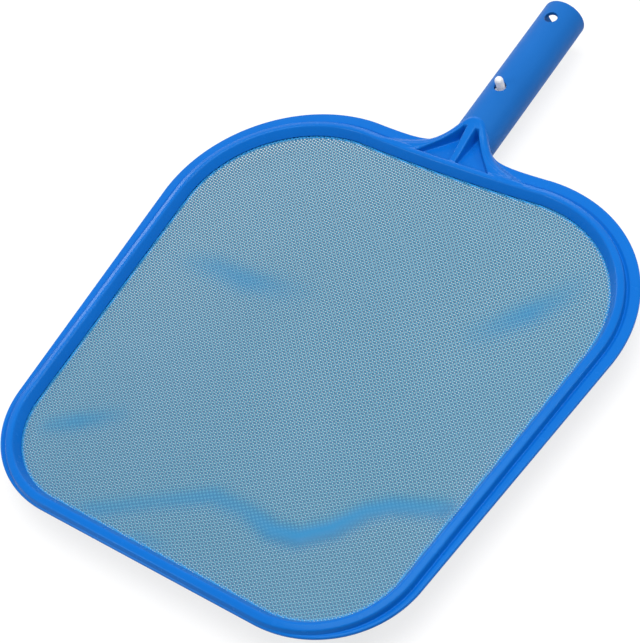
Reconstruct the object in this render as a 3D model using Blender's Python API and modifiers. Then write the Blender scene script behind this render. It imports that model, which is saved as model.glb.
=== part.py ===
"""Leaf skimmer head for a swimming-pool pole, at real size in metres with +Z up.

One blue moulding is the rim, the neck and the tube that slips into the pole.  Netting is moulded
into a slot in the rim's foot.  A white spring clip inside the tube carries two snap buttons.

It is drawn round the middle of the net, which lies level, with the tube pointing along +Y.  In the
end all is moved so that the origin is on the tube's axis, where the buttons lock the pole.
"""
import math

import bmesh
import bpy
from mathutils import Matrix, Vector

# ---- the net's opening: a trapezoid with round corners ----
NET_LENGTH = 0.2972
NET_FRONT_WIDTH = 0.2443
NET_HANDLE_WIDTH = 0.2972
FRONT_CORNER_RADIUS = 0.0533
HANDLE_CORNER_RADIUS = 0.0770
HANDLE_EDGE_BOW = 0.0018

# ---- the rim's section, measured outwards from the net's edge ----
BEAD_WIDTH = 0.0080
BEAD_SHOULDER = 0.0040
BEAD_HEIGHT = 0.0067
BEAD_OUTER_HEIGHT = 0.0057
BEAD_WALL = 0.0020
GROOVE_WIDTH = 0.0011
FLANGE_TOP = 0.0032
FLANGE_THICKNESS = 0.0022
FOOT_WIDTH = 0.0034
FOOT_DEPTH = 0.0017
REACH_FRONT = 0.0100
REACH_SIDE_FRONT = 0.0134
REACH_SIDE_BACK = 0.0164
REACH_HANDLE = 0.0178

# ---- the netting ----
NET_THICKNESS = 0.0005
NET_TUCK = 0.0016
NET_BORDER = 0.0016
MESH_PITCH = 0.0172
STRAND_WIDTH = 0.0014
LEAST_GAP_SHARE = 0.18

# ---- the tube that slips into the pole ----
TUBE_RADIUS = 0.0143
TUBE_WALL = 0.0024
TUBE_BEYOND_RIM = 0.1298
TUBE_DROP = 0.0032
TUBE_TILT = 0.0478
CLIP_HOLE_FROM_END = 0.0790
SPARE_HOLE_FROM_END = 0.0149
CLIP_HOLE_RADIUS = 0.0039
SPARE_HOLE_RADIUS = 0.0040
HOLE_CHAMFER = 0.0003

# ---- the neck between the tube and the rim ----
CROWN_LENGTH = 0.0223
NECK_HALF_WIDTH = 0.0080
NECK_FLARE = 0.0284
NECK_FLARE_LENGTH = 0.0090
CROWN_ROUND = 0.0180
ARCH_RADIUS = 0.0030
ARCH_PROUD = 0.0010
ARCH_SHOULDER = 0.0083
ARCH_REACH = 0.0026
WEB_FLARE = 0.0105
WEB_FLARE_LENGTH = 0.0080
HEEL_LENGTH = 0.0200
RIB_HALF_WIDTH = 0.0021
POCKET_INTO_BEAD = 0.0010
POCKET_HALF_SPAN = 0.0256
POCKET_LENGTH = 0.0266
POCKET_APEX_HALF = 0.0052
POCKET_BEND = 1.2
POCKET_CORNER = 0.0012
POCKET_DRAFT = 0.0006
BORE_END_WALL = 0.0085

# ---- the spring clip ----
CLEARANCE = 0.0003
CLIP_WIDTH = 0.0080
CLIP_THICKNESS = 0.0017
CLIP_BOW_RADIUS = 0.0050
ARM_LENGTH = 0.0480
PAD_LENGTH = 0.0090
TIP_LENGTH = 0.0070
BUTTON_RADIUS = 0.0027
BUTTON_PROUD = 0.0066
BUTTON_OFFSET = 0.0010
BUTTON_LEAN_BACK = 0.03
BUTTON_LEAN_ASIDE = 0.07

# ---- how finely round things are drawn ----
FRONT_STEPS = 4
FRONT_CORNER_STEPS = 12
SIDE_STEPS = 8
HANDLE_CORNER_STEPS = 14
HANDLE_STEPS = 18
TUBE_SIDES = 72
HOLE_SIDES = 32

BLUE = (0.010, 0.140, 0.680)
NET_BLUE = (0.150, 0.330, 0.460)
WHITE = (0.830, 0.830, 0.840)

# ---- places worked out from the sizes above ----
SLOT_HALF = NET_THICKNESS / 2 + CLEARANCE
SLOT_DEPTH = NET_TUCK + CLEARANCE
HANDLE_EDGE_Y = NET_LENGTH / 2 - HANDLE_EDGE_BOW
BEAD_BACK_Y = HANDLE_EDGE_Y + BEAD_WIDTH
RIM_BACK_Y = HANDLE_EDGE_Y + REACH_HANDLE
GROOVE_Y = BEAD_BACK_Y + GROOVE_WIDTH
POCKET_START_Y = BEAD_BACK_Y - POCKET_INTO_BEAD
POCKET_END_Y = POCKET_START_Y + POCKET_LENGTH
CROWN_Y = RIM_BACK_Y + CROWN_LENGTH
ARCH_Y = CROWN_Y - ARCH_RADIUS / 2
TUBE_START = Vector((0.0, HANDLE_EDGE_Y, -TUBE_DROP))
TUBE_LENGTH = REACH_HANDLE + TUBE_BEYOND_RIM
TUBE_FRAME = Matrix.Translation(TUBE_START) @ Matrix.Rotation(TUBE_TILT, 4, "X")
BORE_RADIUS = TUBE_RADIUS - TUBE_WALL
BORE_START = POCKET_END_Y - HANDLE_EDGE_Y + BORE_END_WALL
CLIP_HOLE_S = TUBE_LENGTH - CLIP_HOLE_FROM_END
SPARE_HOLE_S = TUBE_LENGTH - SPARE_HOLE_FROM_END
DATUM = Matrix.Translation(-(TUBE_FRAME @ Vector((0.0, CLIP_HOLE_S, 0.0))))
BUTTON_S = CLIP_HOLE_S + BUTTON_OFFSET
HINGE_S = BUTTON_S + ARM_LENGTH
PAD_HEIGHT = math.sqrt(BORE_RADIUS**2 - (CLIP_WIDTH / 2)**2) - CLEARANCE - CLIP_THICKNESS / 2


def clear_scene():
    """Remove every object the file opened with."""
    for thing in list(bpy.data.objects):
        bpy.data.objects.remove(thing, do_unlink=True)


def make_collection(name):
    collection = bpy.data.collections.new(name)
    bpy.context.scene.collection.children.link(collection)
    return collection


def make_material(name, colour, roughness):
    material = bpy.data.materials.new(name)
    material.use_nodes = True
    shader = material.node_tree.nodes["Principled BSDF"]
    shader.inputs["Base Color"].default_value = (*colour, 1.0)
    shader.inputs["Roughness"].default_value = roughness
    shader.inputs["Metallic"].default_value = 0.0
    return material


def new_object(name, form, collection):
    """An object from a bmesh, with its faces turned to point outwards."""
    bmesh.ops.recalc_face_normals(form, faces=form.faces)
    mesh = bpy.data.meshes.new(name)
    form.to_mesh(mesh)
    form.free()
    thing = bpy.data.objects.new(name, mesh)
    collection.objects.link(thing)
    return thing


def settle(thing):
    """Apply an object's modifiers."""
    graph = bpy.context.evaluated_depsgraph_get()
    mesh = bpy.data.meshes.new_from_object(thing.evaluated_get(graph))
    thing.modifiers.clear()
    thing.data = mesh
    mesh.name = thing.name
    return thing


def loft(name, sections, capped, collection):
    """Skin like outlines in order, with a cap at each end or left open there."""
    form = bmesh.new()
    rings = [[form.verts.new(point) for point in section] for section in sections]
    count = len(rings[0])
    for ring, following in zip(rings, rings[1:]):
        for k in range(count):
            n = (k + 1) % count
            form.faces.new((ring[k], ring[n], following[n], following[k]))
    if capped:
        form.faces.new(rings[0])
        form.faces.new(rings[-1])
    return new_object(name, form, collection)


def bar(name, radius, start, end, sides, collection):
    """A round bar along Z between two heights."""
    form = bmesh.new()
    bmesh.ops.create_cone(form, cap_ends=True, segments=sides, radius1=radius, radius2=radius,
                          depth=end - start)
    bmesh.ops.rotate(form, matrix=Matrix.Rotation(math.pi / sides, 3, "Z"), verts=form.verts)
    bmesh.ops.translate(form, vec=(0.0, 0.0, (start + end) / 2), verts=form.verts)
    return new_object(name, form, collection)


def solid_from(curve, name, collection):
    """The closed solid that a curve draws, with its caps joined on."""
    drawing = bpy.data.objects.new(name, curve)
    collection.objects.link(drawing)
    graph = bpy.context.evaluated_depsgraph_get()
    mesh = bpy.data.meshes.new_from_object(drawing.evaluated_get(graph))
    bpy.data.objects.remove(drawing, do_unlink=True)
    form = bmesh.new()
    form.from_mesh(mesh)
    bmesh.ops.remove_doubles(form, verts=form.verts, dist=0.00001)
    return new_object(name, form, collection)


def plate(name, outlines, thickness, collection):
    """A flat plate centred on z = 0, from its outline and those of its holes."""
    curve = bpy.data.curves.new(name, "CURVE")
    curve.dimensions = "2D"
    curve.fill_mode = "BOTH"
    curve.extrude = thickness / 2
    for outline in outlines:
        spline = curve.splines.new("POLY")
        spline.points.add(len(outline) - 1)
        for spot, (x, y) in zip(spline.points, outline):
            spot.co = (x, y, 0.0, 1.0)
        spline.use_cyclic_u = True
    return solid_from(curve, name, collection)


def upended(name, outline, width, collection):
    """A plate whose outline is drawn as (y, z) and which runs across X."""
    on_edge = Matrix(((0, 0, 1, 0), (1, 0, 0, 0), (0, 1, 0, 0), (0, 0, 0, 1)))
    return place(plate(name, [outline], width, collection), on_edge)


def turned(name, profile, sides, collection):
    """A solid turned about Z, from a (radius, z) profile that runs down from axis to axis."""
    mesh = bpy.data.meshes.new(name)
    edges = [(k, k + 1) for k in range(len(profile) - 1)]
    mesh.from_pydata([(radius, 0.0, z) for radius, z in profile], edges, [])
    thing = bpy.data.objects.new(name, mesh)
    collection.objects.link(thing)
    screw = thing.modifiers.new("turn", "SCREW")
    screw.axis = "Z"
    screw.steps = sides
    screw.render_steps = sides
    screw.use_merge_vertices = True
    screw.merge_threshold = 0.00001
    settle(thing)
    return place(thing, Matrix.Rotation(math.pi / sides, 4, "Z"))


def place(thing, matrix):
    """Write a placement into the mesh, so that Booleans see it in the object's own space."""
    thing.data.transform(matrix)
    thing.data.update()
    return thing


def combine(target, other, operation):
    """Apply one exact Boolean to the target and drop the other solid."""
    change = target.modifiers.new(operation.lower(), "BOOLEAN")
    change.object = other
    change.operation = operation
    change.solver = "EXACT"
    settle(target)
    bpy.data.objects.remove(other, do_unlink=True)
    return target


def finish(thing, material, sharp_angle):
    """Give the object its material and smooth shading that breaks at real edges."""
    thing.data.materials.clear()
    thing.data.materials.append(material)
    thing.data.shade_smooth()
    thing.data.set_sharp_from_angle(angle=math.radians(sharp_angle))
    return thing


def rounded(corners, steps):
    """An outline from (a, b, radius) corners, each round one drawn as an arc."""
    outline = []
    for i, (a, b, radius) in enumerate(corners):
        here = Vector((a, b))
        before = (Vector(corners[i - 1][:2]) - here).normalized()
        after = (Vector(corners[(i + 1) % len(corners)][:2]) - here).normalized()
        if radius == 0:
            outline.append((a, b))
            continue
        half = before.angle(after) / 2
        middle = here + (before + after).normalized() * radius / math.sin(half)
        first = here + before * radius / math.tan(half) - middle
        last = here + after * radius / math.tan(half) - middle
        turn = first.angle_signed(last)
        for k in range(steps + 1):
            spoke = first.copy()
            spoke.rotate(Matrix.Rotation(-turn * k / steps, 2))
            outline.append(tuple(middle + spoke))
    return outline


def smooth_step(share):
    share = min(max(share, 0.0), 1.0)
    return share * share * (3 - 2 * share)


def mix(first, last, share):
    return first + (last - first) * share


# ---- the net's edge and the rim round it ----

def corner_arc(before, vertex, after, radius, steps):
    """The arc that rounds one corner of the net's edge."""
    to_before = (before - vertex).normalized()
    to_after = (after - vertex).normalized()
    half = to_before.angle(to_after) / 2
    middle = vertex + (to_before + to_after).normalized() * radius / math.sin(half)
    first = vertex + to_before * radius / math.tan(half) - middle
    turn = math.pi - 2 * half
    arc = []
    for k in range(steps + 1):
        spoke = first.copy()
        spoke.rotate(Matrix.Rotation(turn * k / steps, 2))
        arc.append(middle + spoke)
    return arc


def web_flare(x):
    """How far the flange runs out along the tube, near the neck."""
    return WEB_FLARE * math.exp(-max(abs(x) - TUBE_RADIUS, 0.0) / WEB_FLARE_LENGTH)


def half_edge():
    """Right half of the net's edge, front middle to handle middle: point, outwards, rim reach."""
    half = NET_LENGTH / 2
    left = Vector((-NET_FRONT_WIDTH / 2, -half))
    front = Vector((NET_FRONT_WIDTH / 2, -half))
    back = Vector((NET_HANDLE_WIDTH / 2, half))
    back_left = Vector((-NET_HANDLE_WIDTH / 2, half))
    first = corner_arc(left, front, back, FRONT_CORNER_RADIUS, FRONT_CORNER_STEPS)
    second = corner_arc(front, back, back_left, HANDLE_CORNER_RADIUS, HANDLE_CORNER_STEPS)
    edge = []
    for k in range(FRONT_STEPS):
        edge.append((Vector((first[0].x * k / FRONT_STEPS, -half)), REACH_FRONT))
    for k, point in enumerate(first):
        reach = mix(REACH_FRONT, REACH_SIDE_FRONT, smooth_step(k / FRONT_CORNER_STEPS))
        edge.append((point, reach))
    for k in range(1, SIDE_STEPS):
        share = k / SIDE_STEPS
        edge.append((first[-1].lerp(second[0], share), mix(REACH_SIDE_FRONT, REACH_SIDE_BACK, share)))
    for k, point in enumerate(second):
        reach = mix(REACH_SIDE_BACK, REACH_HANDLE, smooth_step(k / HANDLE_CORNER_STEPS))
        edge.append((point, reach))
    end_x = second[-1].x
    for k in range(1, HANDLE_STEPS + 1):
        x = end_x * (1 - k / HANDLE_STEPS)
        bow = HANDLE_EDGE_BOW * (1 - (x / end_x)**2)
        edge.append((Vector((x, half - bow)), REACH_HANDLE + web_flare(x)))
    stations = []
    for k, (point, reach) in enumerate(edge):
        along = edge[min(k + 1, len(edge) - 1)][0] - edge[max(k - 1, 0)][0]
        if k in (0, len(edge) - 1):
            along.y = 0.0
        along.normalize()
        stations.append((point, Vector((along.y, -along.x)), reach))
    return stations


def rim_section(reach):
    """The rim's section as (outwards, up): foot, bead, groove, flange and the channel below."""
    span = REACH_SIDE_FRONT - REACH_FRONT
    full = smooth_step((reach - REACH_FRONT) / span)
    groove = BEAD_WIDTH + GROOVE_WIDTH
    groove_top = mix(FLANGE_TOP, FLANGE_TOP - 0.0003, full)
    lip_top = mix(FLANGE_TOP - 0.0006, FLANGE_TOP + 0.0001, full)
    below = FLANGE_TOP - FLANGE_THICKNESS
    channel_top = BEAD_OUTER_HEIGHT - BEAD_WALL
    channel_out = BEAD_WIDTH - BEAD_WALL / 2
    corners = [
        (0.0, SLOT_HALF, 0.0),
        (BEAD_SHOULDER, BEAD_HEIGHT, 0.0015),
        (BEAD_WIDTH, BEAD_OUTER_HEIGHT, 0.0012),
        (groove, groove_top, 0.0006),
        (reach, lip_top, 0.0009),
        (reach - 0.0001, below, 0.0006),
        (channel_out, below, 0.0004),
        (channel_out - 0.0008, channel_top, 0.0005),
        (FOOT_WIDTH + 0.0012, channel_top, 0.0005),
        (FOOT_WIDTH, 0.0, 0.0005),
        (FOOT_WIDTH, -FOOT_DEPTH, 0.0003),
        (0.0, -FOOT_DEPTH, 0.0003),
        (0.0, -SLOT_HALF, 0.0),
        (SLOT_DEPTH, -SLOT_HALF, 0.0),
        (SLOT_DEPTH, SLOT_HALF, 0.0),
    ]
    return rounded(corners, 2)


def build_rim(collection):
    """The rim: half of it skinned from the front's middle to the handle's, then mirrored."""
    half = half_edge()
    sections = []
    for point, outwards, reach in half:
        section = []
        for out, up in rim_section(reach):
            spot = point + outwards * out
            section.append(Vector((spot.x, spot.y, up)))
        sections.append(section)
    rim = loft("skimmer_frame", sections, False, collection)
    mirror = rim.modifiers.new("mirror", "MIRROR")
    mirror.use_axis = (True, False, False)
    mirror.use_mirror_merge = True
    mirror.merge_threshold = 0.00001
    return settle(rim)


# ---- the neck ----

def tube_top(y):
    """Height of the tube's upper side over the station y."""
    return -TUBE_DROP + (y - HANDLE_EDGE_Y) * math.tan(TUBE_TILT) + TUBE_RADIUS / math.cos(TUBE_TILT)


def crown(y):
    """Height of the neck's middle: the bead's sloping top, then a rise to the top of the tube."""
    slope = (BEAD_HEIGHT - BEAD_OUTER_HEIGHT) / (BEAD_WIDTH - BEAD_SHOULDER)
    low = BEAD_OUTER_HEIGHT + slope * max(BEAD_BACK_Y - y, 0.0) - 0.0001
    start = BEAD_BACK_Y - 0.0015
    return mix(low, tube_top(CROWN_Y), smooth_step((y - start) / (CROWN_Y - start)))


def neck_half_width(y):
    """Half width of the neck: a wide flare on the rim, drawn in to an arch on the tube."""
    flare = NECK_HALF_WIDTH + NECK_FLARE * math.exp(-(y - GROOVE_Y) / NECK_FLARE_LENGTH)
    into_arch = max((y - (ARCH_Y - CROWN_ROUND)) / CROWN_ROUND, 0.0)
    return flare * math.sqrt(max(1 - into_arch**2, 0.0))


def build_arch(collection):
    """The round bead that runs up one arm of the wishbone, over the tube and down the other."""
    steps = 12
    foot = BEAD_OUTER_HEIGHT - ARCH_RADIUS
    top = tube_top(ARCH_Y) + ARCH_PROUD - ARCH_RADIUS
    arm = []
    for k in range(steps):
        share = math.sin(math.pi / 2 * k / steps)
        y = mix(GROOVE_Y - ARCH_REACH, ARCH_Y, share)
        x = neck_half_width(y)
        arm.append((x, y, mix(foot, top, 1 / (1 + (x / ARCH_SHOULDER)**3.2))))
    path = arm + [(0.0, ARCH_Y, top)] + [(-x, y, z) for x, y, z in reversed(arm)]
    curve = bpy.data.curves.new("arch", "CURVE")
    curve.dimensions = "3D"
    curve.bevel_depth = ARCH_RADIUS
    curve.bevel_resolution = 3
    curve.resolution_u = 3
    curve.use_fill_caps = True
    spline = curve.splines.new("BEZIER")
    spline.bezier_points.add(len(path) - 1)
    for spot, place_on_path in zip(spline.bezier_points, path):
        spot.co = place_on_path
        spot.handle_left_type = "AUTO"
        spot.handle_right_type = "AUTO"
    return solid_from(curve, "arch", collection)


def build_neck(collection):
    """The wishbone over the tube's end: superellipse sections from the bead up to the tube."""
    stations = 22
    points = 22
    start = HANDLE_EDGE_Y + BEAD_SHOULDER
    end = ARCH_Y - 0.0002
    base = FLANGE_TOP - 0.0010
    below = FLANGE_TOP - FLANGE_THICKNESS + 0.0002
    sections = []
    for i in range(stations + 1):
        y = mix(start, end, i / stations)
        half = neck_half_width(y)
        rise = crown(y) - base
        power = mix(4.5, 2.6, smooth_step((y - GROOVE_Y) / (CROWN_Y - GROOVE_Y)))
        section = []
        for k in range(points + 1):
            angle = math.pi * k / points
            side = math.copysign(abs(math.cos(angle))**(2 / power), math.cos(angle))
            up = abs(math.sin(angle))**(2 / power)
            section.append(Vector((half * side, y, base + rise * up)))
        section.append(Vector((-half, y, below)))
        section.append(Vector((half, y, below)))
        sections.append(section)
    return loft("neck", sections, True, collection)


def saddle_cutter(collection):
    """What lies over the neck, so that the tube's end stoops down to the bead."""
    steps = 14
    start = HANDLE_EDGE_Y - 0.010
    line = []
    for k in range(steps + 1):
        y = mix(BEAD_BACK_Y, CROWN_Y, k / steps)
        line.append((y, crown(y)))
    top = 2 * TUBE_RADIUS
    outline = [(start, crown(start))] + line + [(CROWN_Y, top), (start, top)]
    return upended("saddle", outline, 4 * TUBE_RADIUS, collection)


def heel_cutter(collection):
    """What lies under the tube's closed end, which rises to the flange in a quarter ellipse."""
    steps = 12
    top = FLANGE_TOP - FLANGE_THICKNESS
    front = GROOVE_Y
    deep = TUBE_RADIUS - tube_top(front + HEEL_LENGTH) + TUBE_RADIUS + top + 0.001
    line = []
    for k in range(steps + 1):
        angle = math.pi / 2 * k / steps
        y = front + HEEL_LENGTH * (1 - math.cos(angle))
        line.append((y, top - deep * math.sin(angle)))
    end = front + HEEL_LENGTH
    bottom = -4 * TUBE_RADIUS
    outline = line + [(end, bottom), (front - 0.020, bottom), (front - 0.020, top)]
    return upended("heel", outline, 4 * TUBE_RADIUS, collection)


def pocket_outline(side):
    """A hollow of the neck seen from above: a long triangle whose outer edge bends inwards."""
    low = POCKET_START_Y
    span = POCKET_HALF_SPAN - POCKET_APEX_HALF
    corners = [
        (side * (RIB_HALF_WIDTH + 0.0010), low, POCKET_CORNER),
        (side * POCKET_HALF_SPAN, low, POCKET_CORNER),
    ]
    for share in (0.75, 0.5, 0.25):
        x = POCKET_APEX_HALF + span * share**POCKET_BEND
        corners.append((side * x, low + POCKET_LENGTH * (1 - share), 0.0))
    corners.append((side * POCKET_APEX_HALF, POCKET_END_Y, POCKET_CORNER))
    corners.append((side * RIB_HALF_WIDTH, POCKET_END_Y, POCKET_CORNER * 0.8))
    return rounded(corners, 3)


def pocket_cutter(side, collection):
    """One hollow, drawn in towards its floor so that it leaves the mould."""
    depth = 2 * TUBE_RADIUS
    cutter = plate("pocket", [pocket_outline(side)], depth, collection)
    place(cutter, Matrix.Translation((0.0, 0.0, FLANGE_TOP + depth / 2)))
    middle = Vector((side * POCKET_HALF_SPAN / 2, mix(POCKET_START_Y, POCKET_END_Y, 0.4)))
    drawn_in = 1 - 2 * POCKET_DRAFT / POCKET_HALF_SPAN
    for vertex in cutter.data.vertices:
        if vertex.co.z < FLANGE_TOP + depth / 2:
            vertex.co.xy = middle + (vertex.co.xy - middle) * drawn_in
    return cutter


# ---- the tube ----

def along_tube(name, radius, start, end, collection):
    """A round bar on the tube's axis, between two distances from the net's edge."""
    thing = bar(name, radius, start, end, TUBE_SIDES, collection)
    return place(thing, TUBE_FRAME @ Matrix.Rotation(-math.pi / 2, 4, "X"))


def hole_cutter(distance, radius, collection):
    """A hole through both walls with a small chamfer at each mouth."""
    beyond = 0.0020
    level = TUBE_RADIUS - HOLE_CHAMFER
    wide = radius + HOLE_CHAMFER + beyond
    end = TUBE_RADIUS + beyond
    profile = [
        (0.0, end),
        (wide, end),
        (radius, level),
        (radius, -level),
        (wide, -end),
        (0.0, -end),
    ]
    cutter = turned("hole", profile, HOLE_SIDES, collection)
    return place(cutter, TUBE_FRAME @ Matrix.Translation((0.0, distance, 0.0)))


def build_frame(parts, cutters, material):
    """The blue moulding: rim, neck and tube in one piece."""
    tube = along_tube("tube", TUBE_RADIUS, BEAD_WIDTH, TUBE_LENGTH, cutters)
    combine(tube, saddle_cutter(cutters), "DIFFERENCE")
    combine(tube, heel_cutter(cutters), "DIFFERENCE")
    frame = build_rim(parts)
    combine(frame, build_neck(cutters), "UNION")
    combine(frame, build_arch(cutters), "UNION")
    combine(frame, tube, "UNION")
    for side in (-1, 1):
        combine(frame, pocket_cutter(side, cutters), "DIFFERENCE")
    bore = along_tube("bore", BORE_RADIUS, BORE_START, TUBE_LENGTH + 0.005, cutters)
    combine(frame, bore, "DIFFERENCE")
    combine(frame, hole_cutter(CLIP_HOLE_S, CLIP_HOLE_RADIUS, cutters), "DIFFERENCE")
    combine(frame, hole_cutter(SPARE_HOLE_S, SPARE_HOLE_RADIUS, cutters), "DIFFERENCE")
    return finish(frame, material, 35)


# ---- the netting ----

def offset_edge(distance):
    """The net's edge moved outwards, as (x, y) points all the way round."""
    right = [tuple(point + outwards * distance) for point, outwards, _ in half_edge()]
    left = [(-x, y) for x, y in reversed(right[1:-1])]
    return right + left


def clip_to(polygon, outline):
    """The part of a polygon inside a counterclockwise outline without hollows."""
    kept = polygon
    for i, (ax, ay) in enumerate(outline):
        bx, by = outline[(i + 1) % len(outline)]
        source = kept
        kept = []
        for j, (px, py) in enumerate(source):
            qx, qy = source[(j + 1) % len(source)]
            side_p = (bx - ax) * (py - ay) - (by - ay) * (px - ax)
            side_q = (bx - ax) * (qy - ay) - (by - ay) * (qx - ax)
            if side_p >= 0:
                kept.append((px, py))
            if side_p * side_q < 0:
                share = side_p / (side_p - side_q)
                kept.append((mix(px, qx, share), mix(py, qy, share)))
        if len(kept) < 3:
            return []
    return kept


def area(polygon):
    total = 0.0
    for i, (px, py) in enumerate(polygon):
        qx, qy = polygon[(i + 1) % len(polygon)]
        total += px * qy - py * qx
    return total / 2


def mesh_gaps():
    """The netting's gaps: square cells, cut short where they meet the border."""
    border = [point for point in offset_edge(-NET_BORDER) if point[1] < HANDLE_EDGE_Y - NET_BORDER]
    cell = MESH_PITCH - STRAND_WIDTH
    columns = int(NET_HANDLE_WIDTH / MESH_PITCH / 2) + 1
    rows = int(NET_LENGTH / MESH_PITCH / 2) + 1
    gaps = []
    for column in range(-columns, columns + 1):
        for row in range(-rows, rows + 1):
            x = column * MESH_PITCH
            y = row * MESH_PITCH
            square = [(x - cell / 2, y - cell / 2), (x + cell / 2, y - cell / 2),
                      (x + cell / 2, y + cell / 2), (x - cell / 2, y + cell / 2)]
            gap = clip_to(square, border)
            if gap and area(gap) > LEAST_GAP_SHARE * cell**2:
                gaps.append(gap)
    return gaps


def build_net(parts, material):
    gaps = mesh_gaps()
    print("gaps in the netting:", len(gaps))
    net = plate("net", [offset_edge(NET_TUCK)] + gaps, NET_THICKNESS, parts)
    return finish(net, material, 35)


# ---- the spring clip ----

def strip_outline(line, thickness):
    """A strip's side view from its middle line, with its first end rounded."""
    half = thickness / 2
    upper = []
    lower = []
    for i, (a, b) in enumerate(line):
        here = Vector((a, b))
        ahead = Vector(line[min(i + 1, len(line) - 1)])
        behind = Vector(line[max(i - 1, 0)])
        along = (ahead - behind).normalized()
        across_line = Vector((-along.y, along.x)) * half
        upper.append(tuple(here + across_line))
        lower.append(tuple(here - across_line))
    start = Vector(line[0])
    spoke = Vector(upper[0]) - start
    nose = []
    for k in range(1, 8):
        turned_spoke = spoke.copy()
        turned_spoke.rotate(Matrix.Rotation(math.pi * k / 8, 2))
        nose.append(tuple(start + turned_spoke))
    return upper[::-1] + nose + lower


def build_arm(name, side, parts, cutters, material):
    """One arm of the clip with its button; its origin is on the bend that it flexes about."""
    line = [
        (0.0, 0.0),
        (-(ARM_LENGTH - PAD_LENGTH), PAD_HEIGHT - CLIP_BOW_RADIUS),
        (-(ARM_LENGTH + TIP_LENGTH), PAD_HEIGHT - CLIP_BOW_RADIUS),
    ]
    profile = [(y, side * z) for y, z in strip_outline(line, CLIP_THICKNESS)]
    arm = upended(name, profile, CLIP_WIDTH, parts)
    root = PAD_HEIGHT - CLIP_BOW_RADIUS
    top = TUBE_RADIUS + BUTTON_PROUD - PAD_HEIGHT
    dome = []
    for degrees in range(90, -1, -15):
        angle = math.radians(degrees)
        dome.append((BUTTON_RADIUS * math.cos(angle), top - BUTTON_RADIUS * (1 - math.sin(angle))))
    button = turned("button", dome + [(BUTTON_RADIUS, 0.0), (0.0, 0.0)], 28, cutters)
    flip = Matrix.Rotation(math.pi, 4, "Y") if side < 0 else Matrix.Identity(4)
    lean = Matrix.Rotation(side * BUTTON_LEAN_BACK, 4, "X") @ Matrix.Rotation(-BUTTON_LEAN_ASIDE, 4, "Y")
    place(button, Matrix.Translation((0.0, -ARM_LENGTH, side * root)) @ lean @ flip)
    combine(arm, button, "UNION")
    arm.matrix_world = TUBE_FRAME @ Matrix.Translation((0.0, HINGE_S, side * CLIP_BOW_RADIUS))
    return finish(arm, material, 35)


def build_bow(parts, material):
    """The bend that joins the two arms, towards the tube's mouth."""
    half = CLIP_THICKNESS / 2
    centre = HINGE_S + half + CLEARANCE
    outer = []
    inner = []
    for k in range(17):
        angle = math.pi / 2 - math.pi * k / 16
        for ring, radius in ((outer, CLIP_BOW_RADIUS + half), (inner, CLIP_BOW_RADIUS - half)):
            ring.append((centre + radius * math.cos(angle), radius * math.sin(angle)))
    bow = upended("clip_bow", outer + inner[::-1], CLIP_WIDTH, parts)
    bow.matrix_world = TUBE_FRAME
    return finish(bow, material, 35)


def main():
    clear_scene()
    parts = make_collection("leaf_skimmer")
    cutters = make_collection("cutters")
    cutters.hide_render = True
    blue = make_material("blue_moulding", BLUE, 0.28)
    netting = make_material("netting", NET_BLUE, 0.70)
    white = make_material("white_moulding", WHITE, 0.35)
    build_frame(parts, cutters, blue)
    build_net(parts, netting)
    build_arm("clip_arm_upper", 1, parts, cutters, white)
    build_arm("clip_arm_lower", -1, parts, cutters, white)
    build_bow(parts, white)
    for thing in parts.objects:
        thing.matrix_world = DATUM @ thing.matrix_world


main()
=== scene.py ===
import bmesh
import bpy
import numpy as np
from mathutils import Matrix, Vector


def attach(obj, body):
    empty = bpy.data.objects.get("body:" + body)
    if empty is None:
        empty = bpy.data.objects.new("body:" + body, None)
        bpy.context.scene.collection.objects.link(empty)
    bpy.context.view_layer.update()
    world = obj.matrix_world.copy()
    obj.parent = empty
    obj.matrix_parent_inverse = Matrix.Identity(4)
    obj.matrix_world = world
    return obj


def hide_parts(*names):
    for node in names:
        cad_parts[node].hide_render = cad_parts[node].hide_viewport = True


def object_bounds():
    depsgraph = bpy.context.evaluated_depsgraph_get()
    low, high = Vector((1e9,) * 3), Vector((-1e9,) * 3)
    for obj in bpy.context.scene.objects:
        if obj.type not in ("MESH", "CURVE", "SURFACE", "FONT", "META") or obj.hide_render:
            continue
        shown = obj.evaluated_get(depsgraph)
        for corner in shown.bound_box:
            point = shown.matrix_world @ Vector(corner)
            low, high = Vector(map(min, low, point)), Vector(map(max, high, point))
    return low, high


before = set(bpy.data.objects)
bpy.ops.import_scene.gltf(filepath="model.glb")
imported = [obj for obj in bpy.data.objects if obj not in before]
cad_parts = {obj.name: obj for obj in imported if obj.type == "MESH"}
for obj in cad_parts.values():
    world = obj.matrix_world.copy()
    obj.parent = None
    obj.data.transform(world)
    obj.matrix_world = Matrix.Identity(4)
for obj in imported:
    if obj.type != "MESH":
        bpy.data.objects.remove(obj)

cad_box = [list(corner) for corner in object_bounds()]

# ---- the net's opening ----
NET_LENGTH = 0.2972
NET_FRONT_WIDTH = 0.2443
NET_HANDLE_WIDTH = 0.2972
FRONT_CORNER_RADIUS = 0.0533
HANDLE_CORNER_RADIUS = 0.0770
HANDLE_EDGE_BOW = 0.0018
HANDLE_EDGE_Y = NET_LENGTH / 2 - HANDLE_EDGE_BOW
HANDLE_RUN_X = 0.0715          # the handle side's first station past its corner
LEAST_STEP = 0.0004            # stations nearer than this to the corner's end are left out

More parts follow.
